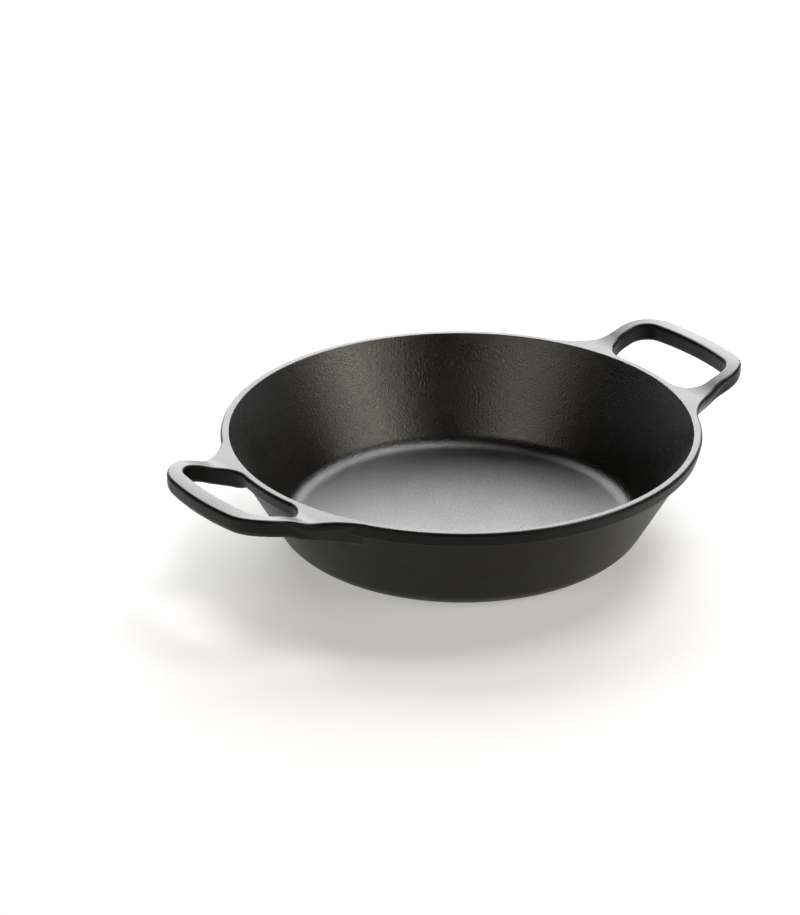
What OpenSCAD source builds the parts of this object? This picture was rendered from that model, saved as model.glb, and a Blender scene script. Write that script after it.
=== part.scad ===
// Two-handled cast iron pan: a flared bowl, a thick band round its rim and a loop handle on each side.
// Millimetres. The pan stands on z = 0, its axis is Z, and the handles reach out along X.

/* [Bowl] */
// Inside radius of the bowl at the rim
bowl_radius = 100; // [85:1:130]
// Height from the foot to the top of the rim
bowl_height = 48.3; // [42:0.1:70]
// Lean of the side wall away from vertical, in degrees
wall_lean = 30; // [20:1:35]
// Thickness of the side wall, square to the wall
wall_thickness = 2.95; // [2.5:0.05:4]
// Thickness of the floor
floor_thickness = 4.8; // [3.5:0.1:7]
// Radius of the outside curve between the foot and the wall
foot_curve_radius = 15.5; // [8:0.5:20]
// Radius of the inside curve between the floor and the wall
floor_curve_radius = 9; // [6:0.5:14]

/* [Rim] */
// Width of the rim across its top, edges included
rim_width = 3.5; // [3:0.1:5]
// Height of the thick band below the top of the rim
rim_height = 6.3; // [5.5:0.1:8]
// How far the band draws in from its widest line to its lower edge
rim_draw_in = 1.2; // [0.4:0.1:1.6]
// Rounding of the outer top edge of the rim
rim_outer_edge_radius = 1.5; // [1:0.1:1.9]
// Rounding of the inner top edge of the rim
rim_inner_edge_radius = 0.6; // [0.3:0.1:0.9]
// Rounding of the lower edge of the band
rim_lower_edge_radius = 0.9; // [0.5:0.1:1]

/* [Handles] */
// How far a handle stands out beyond the rim
handle_length = 34.2; // [28:0.1:40]
// Width of a handle across the outside of its legs
handle_width = 73.3; // [64:0.1:84]
// Width of each leg, from the outside to the finger hole
leg_width = 7.1; // [6.8:0.1:9]
// Width of the grip bar across the tip
grip_width = 8.2; // [6.8:0.1:10]
// Thickness of a handle from its top to its underside
handle_thickness = 8.4; // [7:0.1:10]
// Steepest rise of a handle as it leaves the rim, in degrees
handle_rise = 24; // [5:0.5:26]
// Radius of the upward bend where a handle leaves the rim
handle_bend_radius = 24; // [10:1:32]
// Radius of the arch over the grip bar
handle_arch_radius = 48; // [42:1:120]
// Radius of the outer corners, between the grip bar and the legs
handle_corner_radius = 18.7; // [12:0.1:22]
// Radius of the finger hole's corners at the grip bar
hole_tip_corner_radius = 8.5; // [6:0.1:14]
// Radius of the finger hole's corners at the rim
hole_root_corner_radius = 11.8; // [6:0.1:15]
// Radius of the flare that runs each leg out onto the rim
root_flare_radius = 33.5; // [12:0.5:36]
// Rounding of the top edges of a handle
handle_top_edge_radius = 1.5; // [1:0.1:2.4]
// Rounding of the lower edges of a handle, measured across
handle_lower_edge_width = 3.1; // [1.5:0.1:3.2]
// Rounding of the lower edges of a handle, measured upward
handle_lower_edge_height = 3.9; // [1.5:0.1:4.5]
// How far each side of a handle draws in towards its lower edge
handle_draw_in = 0.2; // [0:0.1:0.3]

/* [Hidden] */

$fn = 128;

// Overrun of cuts past the faces that they cut
overrun = 2;
// Depth that a handle's root runs in behind the rim before it is cut to its seat
root_overrun = 6;
// How far the flares dive under the widest line of the rim, so that they end inside its face
root_bite = 0.4;
// Share of the outer edge rounding that stays open beside a handle's seat
seat_groove_share = 0.45;
// Share of the room beside a leg that the curves at its root may take
root_room_share = 0.98;
// How far past a corner the shape that rounds it reaches, as a multiple of its own size
cut_scale = 2;

// Facets along one half of a handle, from the middle of the grip bar to the root
grip_steps = 8;
corner_steps = 12;
root_steps = 14;
// Facets round each edge of the bar
edge_steps = 5;

iron_dark = [0.13, 0.125, 0.12];
iron_floor = [0.32, 0.32, 0.31];
iron_rim = [0.24, 0.24, 0.235];

// Sizes that follow from the ones above
rim_radius = bowl_radius + rim_width;
band_bottom = bowl_height - rim_height;
wall_width = wall_thickness / cos(wall_lean);
foot_corner_radius = inner_wall_radius(0) + wall_width;
foot_radius = foot_corner_radius - foot_curve_radius * tan((90 - wall_lean) / 2);
seat_radius = rim_radius - root_bite;
handle_reach = rim_radius + handle_length;
bend_start = rim_radius - rim_outer_edge_radius;
bend_length = handle_bend_radius * sin(handle_rise);

// Radius of the inner face of the wall at a height
function inner_wall_radius(z) = bowl_radius - (bowl_height - z) * tan(wall_lean);

// Radius of the outer face of the wall at a height
function outer_wall_radius(z) = inner_wall_radius(z) + wall_width;

function unit(v) = v / norm(v);

function direction(p) = atan2(p[1], p[0]);

// A value part of the way from one to another
function between(from, to, part) = from + (to - from) * part;

// Height of a handle's top at a distance x from the pan's axis: level with the rim, then an
// upward bend, then the arch that carries it over the grip bar
function handle_top(x) =
    let (bend = x - bend_start, arch = handle_arch_radius * sin(handle_rise) - (bend - bend_length))
    bend <= 0 ? bowl_height
    : bend <= bend_length ? bowl_height + handle_bend_radius - sqrt(pow(handle_bend_radius, 2) - bend * bend)
    : bowl_height + handle_bend_radius * (1 - cos(handle_rise))
        + sqrt(pow(handle_arch_radius, 2) - arch * arch) - handle_arch_radius * cos(handle_rise);

// Points along an arc, after its first one
function arc(centre, radius, from, to, steps) =
    [for (i = [1 : steps])
        let (angle = between(from, to, i / steps))
        centre + radius * [cos(angle), sin(angle)]];

// Centre of a round corner, a distance from the pan's axis and y to the side of the handle's middle
function corner_centre(distance, y) = [sqrt(distance * distance - y * y), y];

// One half of an edge of the handle seen from above, from the middle of the grip bar to the root:
// the grip bar runs round the pan's axis, then come the corner, the leg and the curve onto the rim.
// side is the leg's distance from the middle, and flare is 1 where the root curves outwards
// and -1 where it curves inwards, round the finger hole.
function half_edge(reach, side, corner_radius, root_radius, flare) =
    let (corner = corner_centre(reach - corner_radius, side - corner_radius))
    let (room = (pow(corner[0], 2) - pow(seat_radius, 2) + side * side) / (seat_radius - flare * side) / 2)
    let (root_curve = min(root_radius, room * root_room_share))
    let (root = corner_centre(seat_radius + root_curve, side + flare * root_curve))
    concat(
        [[reach, 0]],
        arc([0, 0], reach, 0, direction(corner), grip_steps),
        arc(corner, corner_radius, direction(corner), 90, corner_steps),
        [[root[0], side]],
        arc(root, root_curve, 180 + 90 * flare, 180 + direction(root), root_steps),
        [unit(root) * (seat_radius - root_overrun)]
    );

// How far each of those points has gone over from the bar's section to the rim band's
half_blend = concat(
    [for (i = [0 : grip_steps + corner_steps + 1]) 0],
    [for (i = [1 : root_steps]) (1 - cos(180 * i / root_steps)) / 2],
    [1]
);

// Half of the bar's section, as the distance in from an edge and the depth below the top.
// blend is 0 for the bar and 1 for the rim band that it runs into.
function edge_section(blend) =
    let (depth = between(handle_thickness, rim_height, blend))
    let (draw_in = between(handle_draw_in, rim_draw_in, blend))
    let (top = between(handle_top_edge_radius, rim_outer_edge_radius, blend))
    let (low_across = between(handle_lower_edge_width, rim_lower_edge_radius, blend))
    let (low_up = between(handle_lower_edge_height, rim_lower_edge_radius, blend))
    concat(
        [for (i = [0 : edge_steps])
            let (angle = 90 * i / edge_steps)
            [top * (1 - sin(angle)), top * (1 - cos(angle))]],
        [for (i = [0 : edge_steps])
            let (angle = 90 * i / edge_steps)
            [draw_in + low_across * (1 - cos(angle)), depth - low_up * (1 - sin(angle))]]
    );

// The ring of points round the bar between a point on its outer edge and one on the finger hole
function bar_ring(outer, inner, blend) =
    let (half = edge_section(blend), count = len(half), across = unit(inner - outer))
    [for (i = [0 : 2 * count - 1])
        let (s = i < count ? half[i] : half[2 * count - 1 - i])
        let (p = i < count ? outer + across * s[0] : inner - across * s[0])
        [p[0], p[1], handle_top(p[0]) - s[1]]];

// A half edge with its mirror image before it
function both_sides(half) = concat(
    [for (i = [len(half) - 1 : -1 : 1]) [half[i][0], -half[i][1]]],
    half
);

module bar_loft(outer, inner, blend) {
    stations = len(outer);
    rings = [for (i = [0 : stations - 1]) bar_ring(outer[i], inner[i], blend[i])];
    ring = len(rings[0]);
    corners = [for (i = [0 : stations - 2], j = [0 : ring - 1])
        [i * ring + j, (i + 1) * ring + j, i * ring + (j + 1) % ring, (i + 1) * ring + (j + 1) % ring]];
    polyhedron(
        points = [for (r = rings, p = r) p],
        faces = concat(
            [[for (j = [0 : ring - 1]) j]],
            [[for (j = [0 : ring - 1]) stations * ring - 1 - j]],
            [for (c = corners) [c[0], c[1], c[2]]],
            [for (c = corners) [c[2], c[1], c[3]]]
        )
    );
}

// What rounding takes off an outline at the corner p, between the points before and after it
module corner_cut(before, p, after, radius) {
    u = unit(before - p);
    v = unit(after - p);
    half = acos(u * v) / 2;
    centre = p + unit(u + v) * radius / sin(half);
    reach = radius / tan(half);
    difference() {
        translate(centre) scale(cut_scale)
            polygon([[0, 0], p + u * reach - centre, p - centre, p + v * reach - centre]);
        translate(centre) circle(radius);
    }
}

// Outline of the rim band cut through at one side
module rim_band_outline() {
    top_inner = [bowl_radius, bowl_height];
    top_outer = [rim_radius, bowl_height];
    widest = [rim_radius, bowl_height - rim_outer_edge_radius];
    low_outer = [rim_radius - rim_draw_in, band_bottom];
    low_inner = [inner_wall_radius(band_bottom), band_bottom];
    difference() {
        polygon([top_inner, top_outer, widest, low_outer, low_inner]);
        corner_cut(top_inner, top_outer, widest, rim_outer_edge_radius);
        corner_cut(widest, low_outer, low_inner, rim_lower_edge_radius);
        corner_cut(low_inner, top_inner, top_outer, rim_inner_edge_radius);
    }
}

// Outline of everything inside the outer face of the wall, below the band
module wall_outside_outline() {
    axis_foot = [0, 0];
    foot_corner = [foot_corner_radius, 0];
    top = [outer_wall_radius(band_bottom), band_bottom];
    difference() {
        polygon([axis_foot, foot_corner, top, [0, band_bottom]]);
        corner_cut(axis_foot, foot_corner, top, foot_curve_radius);
    }
}

// Outline of the hollow of the bowl, up to the band and a little past it
module hollow_outline() {
    hollow_top = band_bottom + overrun;
    axis_floor = [0, floor_thickness];
    floor_corner = [inner_wall_radius(floor_thickness), floor_thickness];
    top = [inner_wall_radius(hollow_top), hollow_top];
    difference() {
        polygon([axis_floor, floor_corner, top, [0, hollow_top]]);
        corner_cut(axis_floor, floor_corner, top, floor_curve_radius);
    }
}

// Everything that a handle's root is cut against: the wall, the band and the space above the rim
module seat_cutter() {
    open_groove = rim_outer_edge_radius * seat_groove_share;
    rotate_extrude() {
        wall_outside_outline();
        rim_band_outline();
        translate([0, band_bottom])
            square([bowl_radius, rim_height]);
        translate([0, bowl_height - rim_outer_edge_radius])
            square([rim_radius - rim_outer_edge_radius + open_groove, rim_outer_edge_radius + overrun]);
    }
}

module floor_disc() {
    color(iron_floor) cylinder(h = floor_thickness, r = foot_radius);
}

module side_wall() {
    color(iron_dark) rotate_extrude() difference() {
        wall_outside_outline();
        hollow_outline();
        translate([0, -overrun]) square([foot_radius, bowl_height]);
    }
}

module rim_band() {
    color(iron_rim) rotate_extrude() rim_band_outline();
}

module loop_handle() {
    side = handle_width / 2;
    outer = half_edge(handle_reach, side, handle_corner_radius, root_flare_radius, 1);
    inner = half_edge(handle_reach - grip_width, side - leg_width,
                      hole_tip_corner_radius, hole_root_corner_radius, -1);
    blend = concat([for (i = [len(half_blend) - 1 : -1 : 1]) half_blend[i]], half_blend);
    difference() {
        bar_loft(both_sides(outer), both_sides(inner), blend);
        seat_cutter();
    }
}

module left_handle() {
    color(iron_rim) rotate([0, 0, 180]) loop_handle();
}

module right_handle() {
    color(iron_rim) loop_handle();
}

floor_disc();
side_wall();
rim_band();
left_handle();
right_handle();
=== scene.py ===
"""Two-handled cast iron pan: a flared bowl with a thick band round its rim and two loop handles.

Metres. The pan stands on z = 0, its axis is Z, and the handles reach out along X.
"""

from math import atan2, cos, pi, radians, sin, sqrt, tan, tau

import bpy
import numpy as np
from bpy.props import FloatProperty, FloatVectorProperty, IntProperty, PointerProperty
from bpy.types import Operator, Panel, PropertyGroup
from mathutils import Matrix, Vector


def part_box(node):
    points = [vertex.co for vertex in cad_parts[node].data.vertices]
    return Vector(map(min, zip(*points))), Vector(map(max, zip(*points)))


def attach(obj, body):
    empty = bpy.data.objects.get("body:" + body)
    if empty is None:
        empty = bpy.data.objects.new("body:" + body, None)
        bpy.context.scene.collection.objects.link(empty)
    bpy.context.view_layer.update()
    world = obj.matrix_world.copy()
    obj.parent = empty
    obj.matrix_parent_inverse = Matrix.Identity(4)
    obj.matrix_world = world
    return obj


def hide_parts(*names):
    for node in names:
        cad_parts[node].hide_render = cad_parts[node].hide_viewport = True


bl_info = {
    "name": "Cast Iron Pan",
    "version": (1, 0, 0),
    "blender": (4, 5, 0),
    "location": "View3D > Sidebar > Pan",
    "description": "Makes a two-handled cast iron pan, its seasoned iron finishes and a plain studio",
    "category": "Add Mesh",
}

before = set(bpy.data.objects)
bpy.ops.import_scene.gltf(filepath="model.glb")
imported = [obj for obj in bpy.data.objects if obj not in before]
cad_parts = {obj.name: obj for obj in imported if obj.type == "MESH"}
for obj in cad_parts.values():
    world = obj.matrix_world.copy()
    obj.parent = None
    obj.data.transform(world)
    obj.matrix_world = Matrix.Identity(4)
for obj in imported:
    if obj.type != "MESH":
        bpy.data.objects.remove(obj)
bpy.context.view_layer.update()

MM = 0.001
RIM_LOW, RIM_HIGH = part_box("rim_band")
FLOOR_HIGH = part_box("floor_disc")[1]
HANDLE_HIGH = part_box("right_handle")[1]
RIM_WIDTH = 3.5 * MM


def factor(name, description, default, high=1.0, low=0.0, **rest):
    """A property that holds a plain number."""
    return FloatProperty(
        name=name, description=description, default=default, min=low, max=high, **rest
    )


def length(name, description, default, low=0.0):
    """A property that holds a length in metres."""
    return factor(name, description, default, 10.0, low, unit="LENGTH", precision=4)


def turn(name, description, degrees):
    """A property that holds an angle, given here in degrees."""
    return factor(name, description, radians(degrees), pi, -pi, unit="ROTATION")


def tint(name, description, default):
    """A property that holds a colour."""
    return FloatVectorProperty(
        name=name, description=description, default=default, subtype="COLOR",
        size=3, min=0.0, max=1.0,
    )


class PanBowlSizes(PropertyGroup):
    """Sizes of the bowl and of the band round its rim."""

    bowl_radius: length("Bowl Radius", "Inside radius at the rim", RIM_HIGH.x - RIM_WIDTH)
    bowl_height: length("Bowl Height", "Height from the foot to the rim", RIM_HIGH.z)
    wall_lean: turn("Wall Lean", "Lean of the wall away from upright", 30)
    wall_thickness: length("Wall Thickness", "Thickness square to the wall", 2.95 * MM)
    floor_thickness: length("Floor Thickness", "Thickness of the floor", FLOOR_HIGH.z)
    foot_curve: length("Foot Curve", "Radius of the outside curve at the foot", 15.5 * MM)
    floor_curve: length("Floor Curve", "Radius of the inside curve round the floor", 9 * MM)
    rim_width: length("Rim Width", "Width of the rim across its top", RIM_WIDTH)
    rim_height: length("Rim Height", "Height of the thick band", RIM_HIGH.z - RIM_LOW.z)
    rim_draw_in: length("Rim Draw In", "How far the band's side slants inwards", 1.2 * MM)
    outer_edge: length("Outer Edge", "Rounding of the outer top edge", 1.5 * MM)
    inner_edge: length("Inner Edge", "Rounding of the inner top edge", 0.6 * MM)
    lower_edge: length("Lower Edge", "Rounding of the band's lower edge", 0.9 * MM)
    band_fillet: length("Band Fillet", "Fillet between the band and the wall", 1.0 * MM)
    segments: IntProperty(
        name="Segments", description="Faces round the bowl", default=360, min=24, max=720
    )
    corner_steps: IntProperty(
        name="Corner Steps", description="Faces round each corner", default=12, min=2, max=32
    )


class PanHandleSizes(PropertyGroup):
    """Sizes of the two loop handles."""

    reach: length("Reach", "From the pan's axis to the tip", HANDLE_HIGH.x)
    width: length("Width", "Across the outside of the legs", 73.3 * MM)
    leg_width: length("Leg Width", "Width of each leg", 7.1 * MM)
    grip_width: length("Grip Width", "Width of the bar across the tip", 8.2 * MM)
    thickness: length("Thickness", "From the top to the underside", 8.4 * MM)
    rise: turn("Rise", "Steepest rise as the handle leaves the rim", 24)
    bend_radius: length("Bend Radius", "Radius of the upward bend at the rim", 24 * MM)
    arch_radius: length("Arch Radius", "Radius of the arch over the grip", 48 * MM)
    corner_radius: length("Corner Radius", "Radius of the outer corners", 18.7 * MM)
    hole_tip_radius: length("Hole Tip Radius", "Finger hole corners at the grip", 8.5 * MM)
    hole_root_radius: length("Hole Root Radius", "Finger hole corners at the rim", 11.8 * MM)
    flare_radius: length("Flare Radius", "Curve of each leg out onto the rim", 33.5 * MM)
    top_edge: length("Top Edge", "Rounding of the top edges", 1.5 * MM)
    low_edge_across: length("Lower Edge Across", "Lower rounding, measured across", 3.1 * MM)
    low_edge_up: length("Lower Edge Up", "Lower rounding, measured upwards", 3.9 * MM)
    hole_edge: length("Hole Edge", "Lower rounding on the finger hole's side", 2 * MM)
    draw_in: length("Draw In", "How far each side draws in", 0.2 * MM)
    underside_start: length("Underside Start", "Where a web's lower edge runs on straight", 3 * MM)
    root_reach: length("Root Reach", "How far out from the rim a leg's root goes", 12 * MM)
    web_start: length("Web Start", "Length over which a leg's side turns into the web", 8 * MM)
    web_shoulder: length("Web Shoulder", "Upright part of a flare's side, above the web", 3 * MM)
    web_drop: length("Web Drop", "How much deeper than a leg the web reaches", 1.2 * MM)
    web_run: length("Web Run", "How far the web goes on along the rim past the flare", 1 * MM)
    web_fade: length("Web Fade", "Length over which the web fades into the wall", 17 * MM)
    web_edge: length("Web Edge", "Rounding of the web's lower edge", 1 * MM)
    corner_fade: length("Corner Fade", "Length over which a hole corner meets the band", 7 * MM)
    root_fillet: length("Root Fillet", "Fillet between a web and the wall", 3 * MM)
    cell: length("Cell", "Size of the mesh cells", 0.4 * MM)


class PanIronLook(PropertyGroup):
    """Colours and grain of the seasoned iron."""

    cooking_dark: tint("Cooking Dark", "Cooking side, darker seasoning", (0.002, 0.0019, 0.0017))
    cooking_light: tint("Cooking Light", "Cooking side, lighter seasoning", (0.005, 0.0046, 0.004))
    outer_dark: tint("Outer Dark", "Outside, darker seasoning", (0.003, 0.0027, 0.0023))
    outer_light: tint("Outer Light", "Outside, lighter seasoning", (0.006, 0.0055, 0.0045))
    grain_size: length("Grain Size", "Size of the sand-cast grain", 0.9 * MM)
    grain_depth: length("Grain Depth", "Depth of the grain", 0.22 * MM)
    swell_size: length("Swell Size", "Size of the gentle unevenness", 7 * MM)
    swell_depth: length("Swell Depth", "Depth of the gentle unevenness", 0.02 * MM)
    patch_size: length("Patch Size", "Size of the patches in the seasoning", 28 * MM)
    cooking_roughness: factor("Cooking Roughness", "Roughness of the cooking side", 0.28)
    cooking_refraction: factor("Cooking Refraction", "Refraction of the cooking side", 1.85, 3)
    cooking_wear: factor("Cooking Wear", "What wear adds to the floor's roughness", 0.06)
    outer_roughness: factor("Outer Roughness", "Roughness of the outside", 0.42)
    outer_refraction: factor("Outer Refraction", "Refraction of the outside", 1.27, 3)
    outer_grain: factor("Outer Grain", "Depth of the outside's grain, as a share", 0.5)
    coat_roughness: factor("Coat Roughness", "Roughness where rubbed or oiled", 0.25)
    coat_refraction: factor("Coat Refraction", "Refraction where rubbed or oiled", 1.6, 3)
    rubbed_gloss: factor("Rubbed Gloss", "Gloss of the tops of rim and handles", 0.42)
    oiled_gloss: factor("Oiled Gloss", "Gloss of the outside where it faces down", 0.06)


class PanStudioSetup(PropertyGroup):
    """The camera's place and the studio's light."""

    view_azimuth: turn("View Azimuth", "Where the camera stands round the pan", -36.60036)
    view_elevation: turn("View Elevation", "Height of the camera above level", 25.48428)
    view_distance: length("View Distance", "From the camera to its aim", 1.92591)
    aim_right: length("Aim Right", "The aim, to the right of the rim's middle", -26.337 * MM, -1)
    aim_up: length("Aim Up", "The aim, above the rim's middle", -12.883 * MM, -1)
    focal_pixels: factor("Focal Pixels", "Focal length in pixels of the picture", 4483.506, 1e5)
    light_distance: length("Light Distance", "From the pan to each light", 1.5)
    back_light: factor("Back Light", "Brightness of the large light behind", 6.5, 100)
    high_light: factor("High Light", "Brightness of the light high up behind", 6.5, 100)
    right_light: factor("Right Light", "Brightness of the front light on the right", 4.2, 100)
    left_light: factor("Left Light", "Brightness of the front light on the left", 2.7, 100)
    room: factor("Room", "Brightness of the dark room", 0.005, 10)
    floor_tone: factor("Floor Tone", "Tone of the floor and the sweep", 0.8)
    floor_lift: factor("Floor Lift", "What the floor adds towards white", 0.36)
    sweep_radius: length("Sweep Radius", "Radius of the round floor", 6)
    sweep_bend: length("Sweep Bend", "Radius of the floor's bend up into a low wall", 1)
    sweep_height: length("Sweep Height", "Height of that wall", 1.6)


# Node trees


def new_sockets(tree, in_out, kind, *names):
    """Adds named inputs or outputs of one kind to a node group."""
    for name in names:
        tree.interface.new_socket(name=name, in_out=in_out, socket_type=f"NodeSocket{kind}")


def feed(tree, source, target):
    """Links a socket to another, or sets a plain value on it."""
    if isinstance(source, bpy.types.NodeSocket):
        tree.links.new(source, target)
    else:
        target.default_value = source


def feed_named(tree, node, **inputs):
    """Feeds a node's inputs by name, where _ stands for a space, and returns its outputs."""
    for name, value in inputs.items():
        feed(tree, value, node.inputs[name.replace("_", " ")])
    return node.outputs


def feed_in_order(tree, node, *values):
    """Feeds a node's first inputs in their order, and returns its outputs."""
    for value, socket in zip(values, node.inputs):
        feed(tree, value, socket)
    return node.outputs


def add_node(tree, kind, settings=None, **inputs):
    """Adds a node with its settings, feeds its inputs by name and returns its outputs."""
    node = tree.nodes.new(kind)
    for name, value in (settings or {}).items():
        setattr(node, name, value)
    return feed_named(tree, node, **inputs)


def vector_calc(tree, operation, *values, kind="ShaderNodeVectorMath"):
    """The outputs of a vector math node on these values or sockets."""
    node = tree.nodes.new(kind)
    node.operation = operation
    return feed_in_order(tree, node, *values)


def calc(tree, operation, *values):
    """The result of a math node on these values or sockets."""
    return vector_calc(tree, operation, *values, kind="ShaderNodeMath")[0]


NODES_IN_ROW = 12
NODE_STEP = (200, -240)


def place_nodes(tree):
    """Sets the nodes out in rows, so that the tree can be read."""
    for i, node in enumerate(tree.nodes):
        row, column = divmod(i, NODES_IN_ROW)
        node.location = (NODE_STEP[0] * column, NODE_STEP[1] * row)


# The bowl: three outlines, each revolved round the pan's axis


def index_switch(tree, kind, values):
    """These values in order, by the number of the point that asks."""
    switch = tree.nodes.new("GeometryNodeIndexSwitch")
    switch.data_type = kind
    while len(switch.index_switch_items) < len(values):
        switch.index_switch_items.new()
    index = add_node(tree, "GeometryNodeInputIndex")[0]
    return feed_in_order(tree, switch, index, *values)[0]


def wall_faces(tree, s):
    """Radii of the wall's inner and outer faces, as functions of the height."""
    slope = calc(tree, "TANGENT", s["wall_lean"])
    across = calc(tree, "DIVIDE", s["wall_thickness"], calc(tree, "COSINE", s["wall_lean"]))

    def inner(z):
        drop = calc(tree, "SUBTRACT", s["bowl_height"], z)
        return calc(tree, "SUBTRACT", s["bowl_radius"], calc(tree, "MULTIPLY", drop, slope))

    def outer(z):
        return calc(tree, "ADD", inner(z), across)

    return inner, outer


def foot_edge(tree, s, outer):
    """Radius at which the flat foot gives way to the curve up into the wall."""
    quarter = calc(tree, "SUBTRACT", pi / 2, s["wall_lean"])
    half = calc(tree, "TANGENT", calc(tree, "DIVIDE", quarter, 2.0))
    return calc(tree, "SUBTRACT", outer(0.0), calc(tree, "MULTIPLY", s["foot_curve"], half))


def band_foot(tree, s):
    """Heights of the band's lower edge, and of the outer seam below the fillet under it."""
    low = calc(tree, "SUBTRACT", s["bowl_height"], s["rim_height"])
    below = calc(tree, "MULTIPLY", s["band_fillet"], SEAM_FILLETS)
    return low, calc(tree, "SUBTRACT", low, below)


def floor_outline(tree, s):
    """Corners of the floor, as radius, height and rounding: a disc that ends at the foot's edge."""
    _, outer = wall_faces(tree, s)
    edge = foot_edge(tree, s, outer)
    floor = s["floor_thickness"]
    return [(0.0, 0.0, 0.0), (edge, 0.0, 0.0), (edge, floor, 0.0), (0.0, floor, 0.0)]


def wall_outline(tree, s):
    """Corners of the wall, from the foot's edge up to the underside of the band."""
    inner, outer = wall_faces(tree, s)
    edge = foot_edge(tree, s, outer)
    low, under = band_foot(tree, s)
    floor = s["floor_thickness"]
    return [
        (edge, 0.0, 0.0),
        (outer(0.0), 0.0, s["foot_curve"]),
        (outer(under), under, 0.0),
        (inner(low), low, 0.0),
        (inner(floor), floor, s["floor_curve"]),
        (edge, floor, 0.0),
    ]


def rim_outline(tree, s):
    """Corners of the thick band round the rim."""
    inner, outer = wall_faces(tree, s)
    low, under = band_foot(tree, s)
    widest = calc(tree, "ADD", s["bowl_radius"], s["rim_width"])
    drawn = calc(tree, "SUBTRACT", widest, s["rim_draw_in"])
    shoulder = calc(tree, "SUBTRACT", s["bowl_height"], s["outer_edge"])
    return [
        (inner(low), low, 0.0),
        (outer(under), under, 0.0),
        (outer(low), low, s["band_fillet"]),
        (drawn, low, s["lower_edge"]),
        (widest, shoulder, 0.0),
        (widest, s["bowl_height"], s["outer_edge"]),
        (s["bowl_radius"], s["bowl_height"], s["inner_edge"]),
    ]


WALL_SIZES = ["bowl_radius", "bowl_height", "wall_lean", "wall_thickness"]
FLOOR_SIZES = ["floor_thickness", "foot_curve"]
SEAM_SIZES = ["rim_height", "band_fillet"]
RIM_SIZES = ["rim_width", "rim_draw_in", "outer_edge", "inner_edge", "lower_edge"]
OUTLINES = {
    "pan_floor": (floor_outline, WALL_SIZES + FLOOR_SIZES),
    "pan_wall": (wall_outline, WALL_SIZES + FLOOR_SIZES + SEAM_SIZES + ["floor_curve"]),
    "pan_rim": (rim_outline, WALL_SIZES + SEAM_SIZES + RIM_SIZES),
}
SHARP_ANGLE = radians(35)
WELD = 0.002 * MM
# The outer seam lies this many fillet radii below the band
SEAM_FILLETS = 2.0
# A face looks in when it faces away from the axis by less than this, from -1 to 1
INWARD = -0.5


def cooking_side(tree, only_inward):
    """Which faces are on the cooking side: those that look up, or only those that also look in."""
    normal = add_node(tree, "GeometryNodeInputNormal")["True Normal"]
    height = add_node(tree, "ShaderNodeSeparateXYZ", Vector=normal)["Z"]
    looks_up = calc(tree, "GREATER_THAN", height, 0.0)
    if not only_inward:
        return looks_up
    position = add_node(tree, "GeometryNodeInputPosition")[0]
    level = vector_calc(tree, "MULTIPLY", position, (1, 1, 0))["Vector"]
    outward = vector_calc(tree, "NORMALIZE", level)["Vector"]
    share_out = vector_calc(tree, "DOT_PRODUCT", normal, outward)["Value"]
    looks_in = calc(tree, "LESS_THAN", share_out, INWARD)
    return calc(tree, "MULTIPLY", looks_up, looks_in)


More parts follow.
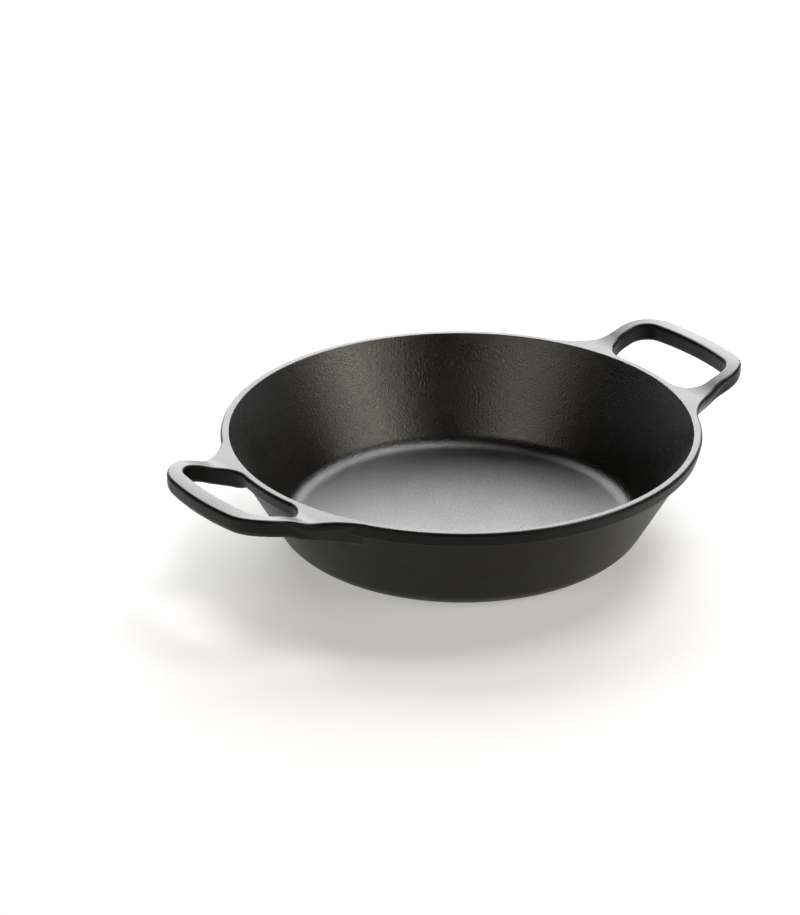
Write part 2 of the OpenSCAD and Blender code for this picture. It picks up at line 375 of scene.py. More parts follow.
def revolve_tree(piece, sizes):
    """The node tree that draws one piece's outline and revolves it round the Z axis."""
    draw, names = OUTLINES[piece]
    tree = bpy.data.node_groups.new(f"Revolved {piece}", "GeometryNodeTree")
    new_sockets(tree, "OUTPUT", "Geometry", "Geometry")
    labels = {name: sizes.bl_rna.properties[name].name for name in names}
    new_sockets(tree, "INPUT", "Float", *labels.values())
    new_sockets(tree, "INPUT", "Int", "Segments", "Corner Steps")
    new_sockets(tree, "INPUT", "Material", "Cooking Material", "Other Material")
    given = add_node(tree, "NodeGroupInput")
    corners = draw(tree, {name: given[label] for name, label in labels.items()})

    # The outline lies with its X out from the rim's circle and its Y down, as the sweep takes it
    places = []
    for radius, height, _ in corners:
        out = calc(tree, "SUBTRACT", radius, given["Bowl Radius"])
        down = calc(tree, "MULTIPLY", height, -1.0)
        places.append(add_node(tree, "ShaderNodeCombineXYZ", X=out, Y=down)[0])
    points = add_node(tree, "GeometryNodePoints", Count=len(corners),
                      Position=index_switch(tree, "VECTOR", places))[0]
    line = add_node(tree, "GeometryNodePointsToCurves", Points=points)[0]
    # The floor's outline starts and ends on the axis, and the others close round the iron
    closed = piece != "pan_floor"
    outline = add_node(tree, "GeometryNodeSetSplineCyclic", Geometry=line, Cyclic=closed)[0]
    rounding = index_switch(tree, "FLOAT", [corner[2] for corner in corners])
    rounded = add_node(tree, "GeometryNodeFilletCurve", {"mode": "POLY"}, Curve=outline,
                       Count=given["Corner Steps"], Radius=rounding, Limit_Radius=True)[0]
    circle = add_node(tree, "GeometryNodeCurvePrimitiveCircle", Resolution=given["Segments"],
                      Radius=given["Bowl Radius"])[0]
    swept = add_node(tree, "GeometryNodeCurveToMesh", Curve=circle, Profile_Curve=rounded)[0]
    welded = add_node(tree, "GeometryNodeMergeByDistance", Geometry=swept, Distance=WELD)[0]
    flipped = add_node(tree, "GeometryNodeFlipFaces", Mesh=welded)[0]
    smooth = add_node(tree, "GeometryNodeSetShadeSmooth", Geometry=flipped, Shade_Smooth=True)[0]
    angle = add_node(tree, "GeometryNodeInputMeshEdgeAngle")["Unsigned Angle"]
    creased = add_node(tree, "GeometryNodeSetShadeSmooth", {"domain": "EDGE"}, Geometry=smooth,
                       Selection=calc(tree, "GREATER_THAN", angle, SHARP_ANGLE),
                       Shade_Smooth=False)[0]
    whole = add_node(tree, "GeometryNodeRealizeInstances", Geometry=creased)[0]
    other = add_node(tree, "GeometryNodeSetMaterial", Geometry=whole,
                     Material=given["Other Material"])[0]
    cooking = add_node(tree, "GeometryNodeSetMaterial", Geometry=other,
                       Material=given["Cooking Material"],
                       Selection=cooking_side(tree, piece == "pan_rim"))[0]
    add_node(tree, "NodeGroupOutput", Geometry=cooking)
    place_nodes(tree)
    return tree


def add_object(name, data):
    """A new object in the scene, with that data."""
    made = bpy.data.objects.new(name, data)
    bpy.context.scene.collection.objects.link(made)
    return made


def add_piece(name, mesh):
    """An object of that name at the origin, holding the mesh."""
    if name in bpy.data.objects:
        bpy.data.objects.remove(bpy.data.objects[name])
    mesh.name = name
    return add_object(name, mesh)


def revolved_piece(piece, sizes, cooking, other):
    """A plain mesh object, revolved from its outline."""
    maker = add_object(f"{piece}_maker", bpy.data.meshes.new(f"{piece}_maker"))
    modifier = maker.modifiers.new("Revolve", "NODES")
    modifier.node_group = revolve_tree(piece, sizes)
    materials = {"Cooking Material": cooking, "Other Material": other}
    for item in modifier.node_group.interface.items_tree:
        if item.in_out == "INPUT":
            name = item.name.lower().replace(" ", "_")
            modifier[item.identifier] = materials.get(item.name) or getattr(sizes, name)
    shading = maker.modifiers.new("Flat faces lead the shading", "WEIGHTED_NORMAL")
    shading.keep_sharp = True
    graph = bpy.context.evaluated_depsgraph_get()
    mesh = bpy.data.meshes.new_from_object(maker.evaluated_get(graph))
    bpy.data.objects.remove(maker)
    return add_piece(piece, mesh)


def hand_over(piece, slot, *nodes):
    """Says what the piece rides on and hides the nodes that it stands for. The slot is not used."""
    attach(piece, "root")
    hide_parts(*nodes)


# The handles: distances to the pan's surface, which is then found on a grid

# How far a handle's skin stands out over the bowl and goes on beyond the fillet, and how steeply
# it dives there
SKIN = 0.02 * MM
SKIN_MARGIN = 1.5 * MM
DIVE = 0.12
# Depth of its seat in the iron, depth to which it is shaded as the surface, and its lap on the rim
SEAT_DEPTH = 0.35 * MM
SHOWN_DEPTH = 0.8 * SEAT_DEPTH
LAP = 2.3 * MM
# Slope of a web's side, as a multiple of the wall's
WEB_LEAN = 1.06
# Step over which a slope is measured
PROBE = 0.01 * MM
# Room round the handle and the longest step of a point that settles, both in cells
MARGIN = 3
SETTLE_REACH = 0.3
SETTLE_STEPS = 6
# The least slope and length that are divided by
LEAST_SLOPE = 1e-3
LEAST_LENGTH = 1e-9


def rounded_meet(a, b, radius):
    """Distance to where two solids overlap, with the edge between their faces rounded."""
    p = a + radius
    q = b + radius
    outside = np.hypot(np.maximum(p, 0), np.maximum(q, 0))
    return outside + np.minimum(np.maximum(p, q), 0) - radius


def drafted(side, depth, shoulder, slope):
    """An upright side that slants inwards below its shoulder."""
    slanted = (side + (depth - shoulder) * slope) / np.hypot(1, slope)
    return np.maximum(side, slanted)


def filleted_join(a, b, radius):
    """Distance to two solids together, with a fillet where they meet."""
    share = np.clip(0.5 + 0.5 * (b - a) / radius, 0, 1)
    return b + (a - b) * share - radius * share * (1 - share)


def round_join(a, b, radius, cosine):
    """Distance to two solids together, with a round fillet between faces at this angle."""
    p = radius - a
    q = radius - b
    s = (p - cosine * q) / (1 - cosine**2)
    t = (q - cosine * p) / (1 - cosine**2)
    from_centre = np.sqrt(np.maximum(s * s + t * t + 2 * s * t * cosine, 0))
    return np.where((s > 0) & (t > 0), radius - from_centre, np.minimum(a, b))


def smooth_step(value):
    """A smooth rise from 0 to 1."""
    t = np.clip(value, 0, 1)
    return t * t * (3 - 2 * t)


def corner_centre(distance, side):
    """Centre of a round corner, a distance from the axis and out to the side."""
    return np.array([sqrt(distance * distance - side * side), side])


def outline_distance(x, y, pieces):
    """Distance to an outline of arcs and straight lines, less than zero inside it.

    A piece is an arc (centre, radius, first angle, last angle, sign) or a line (y, low x, high x).
    """
    best = np.full(x.shape, np.inf)
    for piece in pieces:
        if len(piece) == 3:
            side, low, high = piece
            value = y - side
            near = (x >= low) & (x <= high)
        else:
            centre, radius, first, last, sign = piece
            dx = x - centre[0]
            dy = y - centre[1]
            value = sign * (np.hypot(dx, dy) - radius)
            turned = np.mod(np.arctan2(dy, dx) - first, tau)
            near = turned <= last - first
        closer = near & (np.abs(value) < np.abs(best))
        best = np.where(closer, value, best)
    return best


class HandleShape:
    """The pan's surface round one handle, which reaches out along +X."""

    def __init__(self, bowl, handle):
        self.bowl = b = bowl
        self.handle = h = handle
        self.rim = b.bowl_radius + b.rim_width
        side = h.width / 2
        inside = side - h.leg_width
        grip = h.reach - h.grip_width
        corner = corner_centre(h.reach - h.corner_radius, side - h.corner_radius)
        flare = corner_centre(self.rim + h.flare_radius, side + h.flare_radius)
        tip = corner_centre(grip - h.hole_tip_radius, inside - h.hole_tip_radius)
        root = corner_centre(self.rim + h.hole_root_radius, inside - h.hole_root_radius)
        corner_turn, flare_turn, tip_turn, root_turn = (
            atan2(point[1], point[0]) for point in (corner, flare, tip, root)
        )
        quarter = pi / 2
        axis = np.zeros(2)
        self.flare_start = atan2(side, flare[0])
        self.web_turn = flare_turn + h.web_run / self.rim
        self.root_turn = root_turn
        self.band_slope = b.rim_draw_in / (b.rim_height - b.outer_edge)
        self.outside = [
            (axis, h.reach, 0, corner_turn, 1),
            (corner, h.corner_radius, corner_turn, quarter, 1),
            (side, flare[0], corner[0]),
            (flare, h.flare_radius, pi + flare_turn, 3 * quarter, -1),
            (axis, self.rim, flare_turn, pi, 1),
        ]
        self.hole = [
            (axis, grip, 0, tip_turn, 1),
            (tip, h.hole_tip_radius, tip_turn, quarter, 1),
            (inside, root[0], tip[0]),
            (root, h.hole_root_radius, quarter, pi + root_turn, 1),
            (axis, self.rim, 0, root_turn, -1),
        ]

    def top(self, x):
        """Height of the handle's top: level with the rim, a bend upwards, then an arch."""
        h = self.handle
        sine = sin(h.rise)
        cosine = cos(h.rise)
        along = x - (self.rim - self.bowl.outer_edge)
        bend = h.bend_radius - np.sqrt(np.maximum(h.bend_radius**2 - along**2, 0))
        arch = h.arch_radius * sine - (along - h.bend_radius * sine)
        over = np.sqrt(np.maximum(h.arch_radius**2 - arch**2, 0)) - h.arch_radius * cosine
        rise = np.where(along < h.bend_radius * sine, bend, h.bend_radius * (1 - cosine) + over)
        return self.bowl.bowl_height + np.where(along < 0, 0, rise)

    def underside(self, x):
        """Height of a web's lower edge, which runs on straight where the top levels off."""
        h = self.handle
        start = self.rim + h.underside_start
        slope = (self.top(start + PROBE) - self.top(start)) / PROBE
        straight = self.top(start) - slope * (start - x)
        return np.where(x < start, straight, self.top(x)) - h.thickness

    def root_shares(self, radius, bearing):
        """How near the rim a point is, and how far a root is there the web under a flare, the
        web's end, or a corner of the finger hole."""
        h = self.handle
        near_rim = 1 - smooth_step((radius - self.rim) / h.root_reach)
        web = smooth_step(0.5 + (bearing - self.flare_start) * self.rim / h.web_start)
        end = smooth_step(1 - (self.web_turn - bearing) * self.rim / h.web_fade)
        corner = 1 - smooth_step((bearing - self.root_turn) * self.rim / h.corner_fade)
        return near_rim, web, end, corner * near_rim

    def bar(self, x, y, z):
        """The handle's bar with no top: its sides, its webs and its rounded underside."""
        h = self.handle
        b = self.bowl
        side = np.abs(y)
        radius = np.hypot(x, side)
        bearing = np.arctan2(side, x)
        hole = outline_distance(x, side, self.hole)
        behind = np.maximum(radius * np.sin(bearing - self.root_turn), radius - self.rim)
        hole = np.minimum(hole, behind)
        outside = outline_distance(x, side, self.outside)
        outside = np.maximum(outside, radius * np.sin(bearing - self.web_turn))
        _, web, end, corner = self.root_shares(radius, bearing)

        def blend(leg_value, root_value, share):
            return leg_value + (root_value - leg_value) * share

        depth = self.top(x) - z
        leg_slope = h.draw_in / h.thickness
        web_slope = WEB_LEAN * tan(b.wall_lean)
        shoulder = h.web_shoulder * web * (1 - end)
        outer_side = drafted(outside, depth, shoulder, blend(leg_slope, web_slope, web))
        hole_side = drafted(-hole, depth, b.outer_edge * corner,
                            blend(leg_slope, self.band_slope, corner))
        under = blend(h.thickness, self.top(x) - self.underside(x) + h.web_drop, web)
        thickness = blend(under, b.rim_height, corner)

        def edged(face, across, up):
            return rounded_meet(face / across, (depth - thickness) / up, 1) * across

        hole_edge = blend(h.hole_edge, b.lower_edge, corner)
        return np.maximum(
            edged(outer_side, blend(h.low_edge_across, h.web_edge, web),
                  blend(h.low_edge_up, h.web_edge, web)),
            edged(hole_side, hole_edge, hole_edge),
        )

    def wall(self, radius, z):
        """The outside of the wall, carried on up past the rim."""
        b = self.bowl
        face = b.bowl_radius - (b.bowl_height - z) * tan(b.wall_lean)
        return (radius - face) * cos(b.wall_lean) - b.wall_thickness

    def bowl_side(self, radius, z):
        """The outside of the bowl: the band's side and underside, their fillet and the wall."""
        b = self.bowl
        depth = b.bowl_height - z
        side = drafted(radius - self.rim, depth, b.outer_edge, self.band_slope)
        band = rounded_meet(side, depth - b.rim_height, b.lower_edge)
        wall = self.wall(radius, z)
        joined = round_join(band, wall, b.band_fillet, sin(b.wall_lean))
        return np.where(depth > b.rim_height / 2, joined, np.minimum(band, wall))

    def fillet(self, x, y, z):
        """Size of the fillet between web and wall: none at the rim's top, in the finger hole or
        at the web's end."""
        _, web, end, _ = self.root_shares(np.hypot(x, y), np.arctan2(np.abs(y), x))
        fade = smooth_step((self.bowl.bowl_height - z) / self.bowl.rim_height)
        return self.handle.root_fillet * web * (1 - end) * fade + SKIN

    def surface(self, x, y, z):
        """The whole surface: bar and bowl with a fillet between them, under one rounded top."""
        radius = np.hypot(x, y)
        root = filleted_join(self.bar(x, y, z), self.wall(radius, z), self.fillet(x, y, z))
        together = np.minimum(root, self.bowl_side(radius, z))
        return rounded_meet(together, z - self.top(x), self.handle.top_edge)

    def hidden(self, x, y, z):
        """What bounds the piece inside the iron: its seat in the bowl and its lap on the rim."""
        b = self.bowl
        radius = np.hypot(x, y)
        iron = rounded_meet(self.bowl_side(radius, z), z - b.bowl_height, b.outer_edge)
        seat = -(iron + SEAT_DEPTH)
        lap = np.where(z > b.bowl_height - b.rim_height / 2, self.rim - LAP - radius, -1)
        return np.maximum(seat, lap)

    def solid(self, x, y, z):
        """The piece: the surface, a hair above the rim that it laps, which dives into the bowl
        beyond the fillet and ends there, and its seat."""
        beyond = self.bar(x, y, z) - self.fillet(x, y, z)
        radius = np.hypot(x, y)
        near_rim = self.root_shares(radius, 0)[0]
        lapped = np.where(z > self.bowl.bowl_height - self.bowl.outer_edge,
                          self.rim - self.bowl.outer_edge - radius, 0)
        skin = SKIN * near_rim - DIVE * (np.maximum(beyond, 0) + np.maximum(lapped, 0))
        inside = np.maximum(self.hidden(x, y, z), beyond - SKIN_MARGIN)
        return np.maximum(self.surface(x, y, z) - skin, inside)


def slope_of(distance, points):
    """Which way a distance grows at each point, and how fast."""
    grown = [
        distance(*(points + step).T) - distance(*(points - step).T) for step in PROBE * np.eye(3)
    ]
    return np.stack(grown, axis=1) / (2 * PROBE)


def find_surface(distance, low, high, cell):
    """A closed mesh of four-sided faces where the distance is zero, in a box cut into cells."""
    counts = np.ceil((high - low) / cell).astype(int) + 1
    axes = [low[i] + cell * np.arange(counts[i]) for i in range(3)]
    values = distance(*np.meshgrid(*axes, indexing="ij"))
    shape = counts - 1
    total = np.zeros((*shape, 3))
    found = np.zeros(shape)
    units = np.eye(3, dtype=int)
    corners = np.indices((2, 2, 2)).reshape(3, -1).T

    def corner_values(corner):
        return values[tuple(slice(c, c + n) for c, n in zip(corner, shape))]

    # A cell's point is the middle of the places where the surface cuts the cell's edges
    for axis, unit in enumerate(units):
        for corner in corners[corners[:, axis] == 0]:
            a = corner_values(corner)
            b = corner_values(corner + unit)
            cut = (a < 0) != (b < 0)
            share = np.where(cut, a / np.where(cut, a - b, 1), 0)
            total += np.where(cut[..., None], corner + share[..., None] * unit, 0)
            found += cut
    used = found > 0
    number = np.full(shape, -1)
    number[used] = np.arange(np.count_nonzero(used))
    points = low + cell * (np.argwhere(used) + total[used] / found[used][:, None])

    # Each cut edge of the grid gives a face between the points of the four cells round it
    inside = values < 0
    faces = []
    for axis in range(3):
        cells = np.argwhere(np.diff(inside, axis=axis))
        u = units[axis - 2]
        v = units[axis - 1]
        ring = [number[tuple((cells - step).T)] for step in (0, u, u + v, v)]
        quads = np.stack(ring, axis=1)
        rises = inside[tuple(cells.T)]
        faces.append(np.where(rises[:, None], quads, quads[:, ::-1]))
    return points, np.concatenate(faces)


def settle(distance, points, cell):
    """Moves points onto the exact surface, by at most a share of a cell at each step."""
    for _ in range(SETTLE_STEPS):
        slope = slope_of(distance, points)
        size = np.maximum((slope**2).sum(1), LEAST_SLOPE**2)
        step = slope * (distance(*points.T) / size)[:, None]
        reach = np.maximum(np.linalg.norm(step, axis=1), LEAST_LENGTH)[:, None]
        points = points - step * np.minimum(1, SETTLE_REACH * cell / reach)
    return points


def handle_mesh(bowl, handle):
    """Points, faces and shading directions of the handle that reaches out along +X."""
    shape = HandleShape(bowl, handle)
    margin = MARGIN * handle.cell
    reach = handle.root_fillet + SKIN_MARGIN
    flare_end = shape.rim * sin(shape.web_turn) + reach
    # Inwards there is room for twice the reach, since the wall below leans in
    root_start = shape.rim * cos(shape.web_turn) - 2 * reach
    lowest = shape.underside(root_start) - handle.web_drop - reach
    highest = bowl.bowl_height + handle.thickness
    low = np.array([root_start, -flare_end, lowest]) - margin
    high = np.array([handle.reach, flare_end, highest]) + margin
    points, faces = find_surface(shape.solid, low, high, handle.cell)
    points = settle(shape.solid, points, handle.cell)
    shown = shape.surface(*points.T) > -SHOWN_DEPTH
    normals = np.where(shown[:, None], slope_of(shape.surface, points),
                       slope_of(shape.hidden, points))
    normals /= np.maximum(np.linalg.norm(normals, axis=1), LEAST_LENGTH)[:, None]
    return points, faces, normals


def mesh_from(name, points, faces, normals, material):
    """A smooth mesh with its shading directions set."""
    mesh = bpy.data.meshes.new(name)
    mesh.from_pydata(points.tolist(), [], faces.tolist())
    mesh.update()
    mesh.materials.append(material)
    mesh.shade_smooth()
    mesh.normals_split_custom_set_from_vertices(normals.tolist())
    return mesh


# The finishes

# Each noise's finer layers and how strong they are
GRAIN_NOISE = {"Detail": 3.0, "Roughness": 0.62}
SWELL_NOISE = {"Detail": 2.0, "Roughness": 0.5}
PATCH_NOISE = {"Detail": 4.0, "Roughness": 0.6, "Distortion": 0.4}
PATCH_RANGE = {"From_Min": 0.35, "From_Max": 0.65}
# Share of the patches in the colour, where the rest is grain, and what they do to the roughness
PATCH_SHARE = 0.6
PATCH_ROUGHNESS = 0.03
# How far a face looks up, or down on the lower side, where its kind starts and is complete
RUBBED_SLOPE = (0.5, 0.9)
LEVEL_SLOPE = (0.7, 0.98)
LOWER_SLOPE = (0.2, 0.45)
# Height of the grain where its rubbing starts to grow and is complete, and its share below that
RUBBED_GRAIN = (0.3, 0.5, 0.8)
# Share of the grain that is left on level faces
LEVEL_GRAIN = 0.8


def noise(tree, position, size, settings):
    """Noise whose grains have about this size."""
    scale = calc(tree, "DIVIDE", 1.0, size)
    return add_node(tree, "ShaderNodeTexNoise", Vector=position, Scale=scale, **settings)[0]


def grain_group(tree):
    """Height of the sand-cast grain and of the gentle unevenness under it."""
    new_sockets(tree, "INPUT", "Vector", "Position")
    new_sockets(tree, "INPUT", "Float", "Grain Size", "Grain Depth", "Swell Size", "Swell Depth")
    new_sockets(tree, "OUTPUT", "Float", "Height", "Grain")
    given = add_node(tree, "NodeGroupInput")
    grain = noise(tree, given["Position"], given["Grain Size"], GRAIN_NOISE)
    swell = noise(tree, given["Position"], given["Swell Size"], SWELL_NOISE)
    height = calc(tree, "ADD", calc(tree, "MULTIPLY", grain, given["Grain Depth"]),
                  calc(tree, "MULTIPLY", swell, given["Swell Depth"]))
    add_node(tree, "NodeGroupOutput", Height=height, Grain=grain)


def seasoning_group(tree):
    """Patches of thinner and thicker seasoning, as a colour and a mask."""
    new_sockets(tree, "INPUT", "Vector", "Position")
    new_sockets(tree, "INPUT", "Float", "Patch Size", "Grain")
    new_sockets(tree, "INPUT", "Color", "Dark", "Light")
    new_sockets(tree, "OUTPUT", "Color", "Color")
    new_sockets(tree, "OUTPUT", "Float", "Patches")
    given = add_node(tree, "NodeGroupInput")
    patches = noise(tree, given["Position"], given["Patch Size"], PATCH_NOISE)
    patches = add_node(tree, "ShaderNodeMapRange", Value=patches, **PATCH_RANGE)[0]
    both = calc(tree, "ADD", calc(tree, "MULTIPLY", patches, PATCH_SHARE),
                calc(tree, "MULTIPLY", given["Grain"], 1 - PATCH_SHARE))
    mixed = tree.nodes.new("ShaderNodeMix")
    mixed.data_type = "RGBA"
    # Its colours go by number, since they share their names with its numbers and vectors
    for number, source in ((0, both), (6, given["Dark"]), (7, given["Light"])):
        feed(tree, source, mixed.inputs[number])
    add_node(tree, "NodeGroupOutput", Color=mixed.outputs[2], Patches=patches)


def slope_group(tree):
    """Masks that follow from the way that a face looks: the gloss of tops that are rubbed and of
    lower faces that keep a film of oil, level faces, and the share of the grain that is left."""
    new_sockets(tree, "INPUT", "Float", "Grain", "Rubbed", "Oiled")
    new_sockets(tree, "OUTPUT", "Float", "Gloss", "Level", "Grain Left")
    given = add_node(tree, "NodeGroupInput")
    normal = add_node(tree, "ShaderNodeTexCoord")["Normal"]
    height = add_node(tree, "ShaderNodeSeparateXYZ", Vector=normal)["Z"]

    def ramp(value, start, end, first=0.0, last=1.0):
        return add_node(tree, "ShaderNodeMapRange", {"interpolation_type": "SMOOTHSTEP"},
                        Value=value, From_Min=start, From_Max=end, To_Min=first, To_Max=last)[0]

    tops = calc(tree, "MULTIPLY", ramp(height, *RUBBED_SLOPE), ramp(given["Grain"], *RUBBED_GRAIN))
    rubbed = calc(tree, "MULTIPLY", tops, given["Rubbed"])
    lower = ramp(calc(tree, "MULTIPLY", height, -1.0), *LOWER_SLOPE)
    oiled = calc(tree, "MULTIPLY", lower, given["Oiled"])
    add_node(tree, "NodeGroupOutput", Gloss=calc(tree, "MAXIMUM", rubbed, oiled),
             Level=ramp(height, *LEVEL_SLOPE), Grain_Left=ramp(height, *LEVEL_SLOPE, 1, LEVEL_GRAIN))


def iron_material(name, look, side, grain=1.0, wear=0.0, rubbed=0.0, oiled=0.0):
    """Seasoned cast iron: near-black, with a satin film over sand-cast grain.

    The side is "cooking" or "outer", and its colours, roughness and refraction are the look's.
    """
    material = bpy.data.materials.get(name)
    if material:
        return material
    material = bpy.data.materials.new(name)
    material.use_nodes = True
    tree = material.node_tree
    dark, light, roughness, refraction = (
        getattr(look, f"{side}_{key}") for key in ("dark", "light", "roughness", "refraction")
    )
    position = add_node(tree, "ShaderNodeTexCoord")["Object"]

    def group(title, draw, **inputs):
        made = bpy.data.node_groups.get(title)
        if not made:
            made = bpy.data.node_groups.new(title, "ShaderNodeTree")
            draw(made)
            place_nodes(made)
        return add_node(tree, "ShaderNodeGroup", {"node_tree": made}, **inputs)

    cast = group("Sand cast grain", grain_group, Position=position, Grain_Size=look.grain_size,
                 Grain_Depth=look.grain_depth * grain, Swell_Size=look.swell_size,
                 Swell_Depth=look.swell_depth)
    season = group("Seasoning patches", seasoning_group, Position=position,
                   Patch_Size=look.patch_size, Grain=cast["Grain"], Dark=(*dark, 1),
                   Light=(*light, 1))
    slope = group("Level and lower faces", slope_group, Grain=cast["Grain"], Rubbed=rubbed,
                  Oiled=oiled)
    satin = add_node(tree, "ShaderNodeMapRange", Value=season["Patches"],
                     To_Min=roughness + PATCH_ROUGHNESS, To_Max=roughness - PATCH_ROUGHNESS)[0]
    if wear:
        satin = calc(tree, "ADD", satin, calc(tree, "MULTIPLY", slope["Level"], wear))
    relief = calc(tree, "MULTIPLY", cast["Height"], slope["Grain Left"])
    bump = add_node(tree, "ShaderNodeBump", Height=relief, Distance=1.0)[0]
    shader = tree.nodes["Principled BSDF"]
    feed_named(tree, shader, Base_Color=season["Color"], Roughness=satin, IOR=refraction, Normal=bump)
    if rubbed or oiled:
        feed_named(tree, shader, Coat_Weight=slope["Gloss"], Coat_Roughness=look.coat_roughness,
                   Coat_IOR=look.coat_refraction)
    place_nodes(tree)
    return material


def cooking_iron(look):
    """Iron of the cooking side, which wear leaves a little more matt on the floor."""
    return iron_material("Seasoned iron, cooking side", look, "cooking", wear=look.cooking_wear)


def outer_iron(look):
    """Iron of the outside, rubbed on top and oiled below."""
    return iron_material("Seasoned iron, outside", look, "outer", grain=look.outer_grain,
                         rubbed=look.rubbed_gloss, oiled=look.oiled_gloss)


def grey(value):
    """That grey as a colour."""
    return (value, value, value, 1)


def stage_material(studio):
    """A pale floor that reads as white where the lights reach it and keeps the pan's shadow."""
    material = bpy.data.materials.new("Pale studio floor")
    material.use_nodes = True
    tree = material.node_tree
    tree.nodes.clear()
    matt = add_node(tree, "ShaderNodeBsdfDiffuse", Color=grey(studio.floor_tone))[0]
    path = add_node(tree, "ShaderNodeLightPath")
    seen = calc(tree, "MAXIMUM", path["Is Camera Ray"], path["Is Glossy Ray"])
    lift = add_node(tree, "ShaderNodeEmission", Color=grey(1),
                    Strength=calc(tree, "MULTIPLY", seen, studio.floor_lift))[0]
    both = feed_in_order(tree, tree.nodes.new("ShaderNodeAddShader"), matt, lift)[0]
    add_node(tree, "ShaderNodeOutputMaterial", Surface=both)
    place_nodes(tree)
    return material


# The studio

PICTURE_HEIGHT = 915
WHITE = (1, 1, 1)
WARM = (1, 0.93, 0.79)
# Bearing from the camera and height above level in degrees, then width, height and colour
SOFTBOXES = {
    "back": (180, 30, 1.6, 1.1, WHITE),
    "high": (135, 62, 0.8, 0.5, WHITE),
    "right": (60, 27, 0.6, 0.7, WARM),
    "left": (-38, 27, 0.6, 0.7, WARM),
}
SWEEP_SEGMENTS = 96
BEND_STEPS = 12
# Share of the floor that is kept apart from its bend, and so is shaded flat
FLAT_SHARE = 1 / 8


def towards(azimuth, elevation):
    """The direction from the pan out to something at that azimuth and elevation."""
    level = cos(elevation)
    return Vector((sin(azimuth) * level, -cos(azimuth) * level, sin(elevation)))


def softbox(place, studio):
    """A rectangular light that faces the pan. Its power gives the brightness that it shows."""
    bearing, elevation, width, height, colour = SOFTBOXES[place]
    name = f"{place.title()} softbox"
    light = bpy.data.lights.new(name, "AREA")
    light.shape = "RECTANGLE"
    light.size = width
    light.size_y = height
    light.energy = getattr(studio, f"{place}_light") * pi * width * height
    light.color = colour
    lamp = add_object(name, light)
    way = towards(studio.view_azimuth + radians(bearing), radians(elevation))
    lamp.location = way * studio.light_distance
    lamp.rotation_euler = way.to_track_quat("Z", "Y").to_euler()
    lamp.visible_camera = False


def sweep_mesh(radius, bend, height):
    """A round floor that turns up into a low wall all the way round."""
    rings = [(radius * FLAT_SHARE, 0), (radius - bend, 0)]
    rings += [
        (radius - bend + bend * sin(a), bend - bend * cos(a))
        for a in np.linspace(0, pi / 2, BEND_STEPS + 1)[1:]
    ]
    rings.append((radius, height))
    count = SWEEP_SEGMENTS
    turns = np.linspace(0, tau, count, endpoint=False)
    points = [(0, 0, 0)]
    points += [(r * cos(a), r * sin(a), z) for r, z in rings for a in turns]
    faces = [(0, 1 + i, 1 + (i + 1) % count) for i in range(count)]
    for start in range(1, 1 + (len(rings) - 1) * count, count):
        for i in range(count):
            here = start + i
            following = start + (i + 1) % count
            faces.append((here, here + count, following + count, following))
    mesh = bpy.data.meshes.new("studio_floor")
    mesh.from_pydata(points, [], faces)
    mesh.shade_smooth()
    return mesh


class PAN_OT_bowl(Operator):
    """Makes the floor, the wall and the rim band, each revolved from its outline."""

    bl_idname = "pan.make_bowl"
    bl_label = "Make Bowl"

    def execute(self, context):
        scene = context.scene
        cooking = cooking_iron(scene.pan_look)
        outside = outer_iron(scene.pan_look)
        for name, slot, node in (
            ("pan_floor", "floor_iron", "floor_disc"),
            ("pan_wall", "wall_iron", "side_wall"),
            ("pan_rim", "rim_iron", "rim_band"),
        ):
            hand_over(revolved_piece(name, scene.pan_bowl, cooking, outside), slot, node)
        return {"FINISHED"}


class PAN_OT_handles(Operator):
    """Makes the two loop handles, each with its flared roots and its fillet under the rim."""

    bl_idname = "pan.make_handles"
    bl_label = "Make Handles"

    def execute(self, context):
        scene = context.scene
        points, faces, normals = handle_mesh(scene.pan_bowl, scene.pan_handle)
        if len(faces) == 0:
            raise RuntimeError("the handle's sizes leave no solid")
        material = outer_iron(scene.pan_look)
        for side, turned in (("right", np.ones(3)), ("left", np.array([-1, -1, 1]))):
            name = f"pan_handle_{side}"
            mesh = mesh_from(name, points * turned, faces, normals * turned, material)
            hand_over(add_piece(name, mesh), "handle_iron", f"{side}_handle")
        return {"FINISHED"}


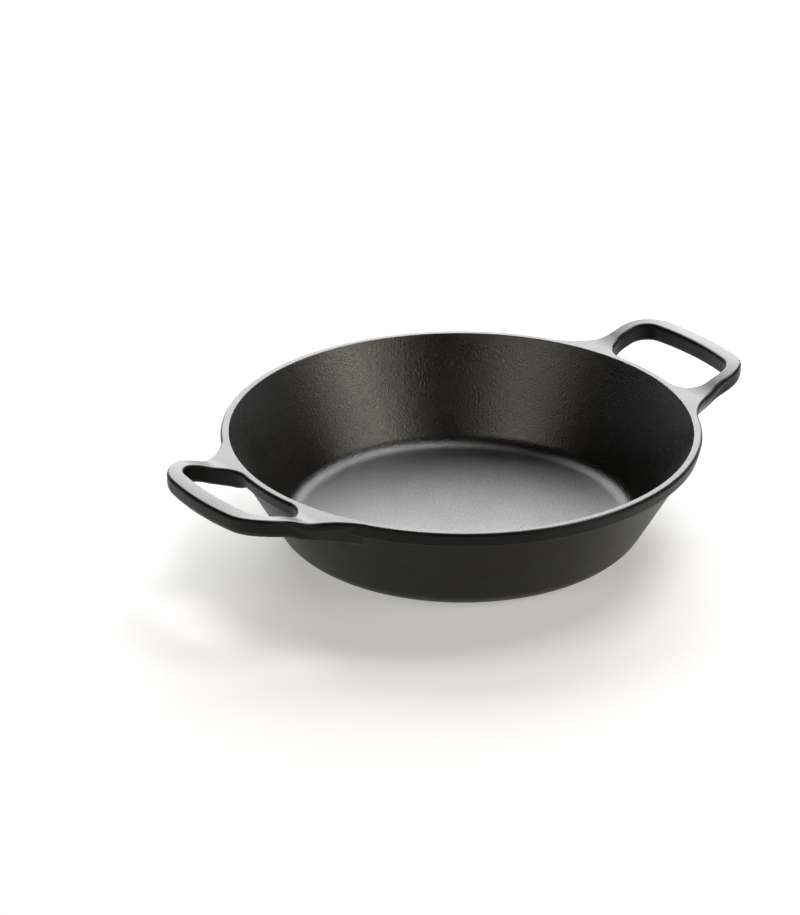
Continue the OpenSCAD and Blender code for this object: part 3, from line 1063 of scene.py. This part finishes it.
class PAN_OT_stage(Operator):
    """Makes the pale floor, the lights, the dark room and the camera."""

    bl_idname = "pan.set_stage"
    bl_label = "Set Stage"

    def execute(self, context):
        scene = context.scene
        studio = scene.pan_studio
        mesh = sweep_mesh(studio.sweep_radius, studio.sweep_bend, studio.sweep_height)
        mesh.materials.append(stage_material(studio))
        add_piece("studio_floor", mesh)
        for name in SOFTBOXES:
            softbox(name, studio)

        world = bpy.data.worlds.new("Dark room")
        scene.world = world
        world.use_nodes = True
        background = world.node_tree.nodes["Background"]
        background.inputs["Color"].default_value = grey(studio.room)

        lens = bpy.data.cameras.new("Camera")
        camera = add_object("Camera", lens)
        back = towards(studio.view_azimuth, studio.view_elevation)
        right = Vector((cos(studio.view_azimuth), sin(studio.view_azimuth), 0))
        up = back.cross(right)
        rim_middle = Vector((0, 0, scene.pan_bowl.bowl_height))
        aim = rim_middle + right * studio.aim_right + up * studio.aim_up
        place = Matrix((right, up, back)).transposed().to_4x4()
        place.translation = aim + back * studio.view_distance
        camera.matrix_world = place
        lens.lens = studio.focal_pixels * lens.sensor_width / PICTURE_HEIGHT
        scene.camera = camera
        scene.view_settings.view_transform = "Standard"
        return {"FINISHED"}


class PAN_PT_sidebar(Panel):
    """Lists the pan's sizes and looks, and the operators that make it."""

    bl_label = "Cast Iron Pan"
    bl_space_type = "VIEW_3D"
    bl_region_type = "UI"
    bl_category = "Pan"

    def draw(self, context):
        scene = context.scene
        for title, (group, kind) in GROUPS.items():
            column = self.layout.column()
            column.label(text=title)
            for name in kind.__annotations__:
                column.prop(getattr(scene, group), name)
        for operator in (PAN_OT_stage, PAN_OT_bowl, PAN_OT_handles):
            self.layout.operator(operator.bl_idname)


GROUPS = {
    "Bowl": ("pan_bowl", PanBowlSizes),
    "Handles": ("pan_handle", PanHandleSizes),
    "Iron": ("pan_look", PanIronLook),
    "Studio": ("pan_studio", PanStudioSetup),
}
CLASSES = [kind for _, kind in GROUPS.values()]
CLASSES += [PAN_OT_bowl, PAN_OT_handles, PAN_OT_stage, PAN_PT_sidebar]


def register():
    for item in CLASSES:
        bpy.utils.register_class(item)
    for name, kind in GROUPS.values():
        setattr(bpy.types.Scene, name, PointerProperty(type=kind))


def unregister():
    for name, _ in GROUPS.values():
        delattr(bpy.types.Scene, name)
    for item in reversed(CLASSES):
        bpy.utils.unregister_class(item)


def main():
    register()
    bpy.ops.pan.set_stage()
    bpy.ops.pan.make_bowl()
    bpy.ops.pan.make_handles()


if __name__ == "__main__":
    main()
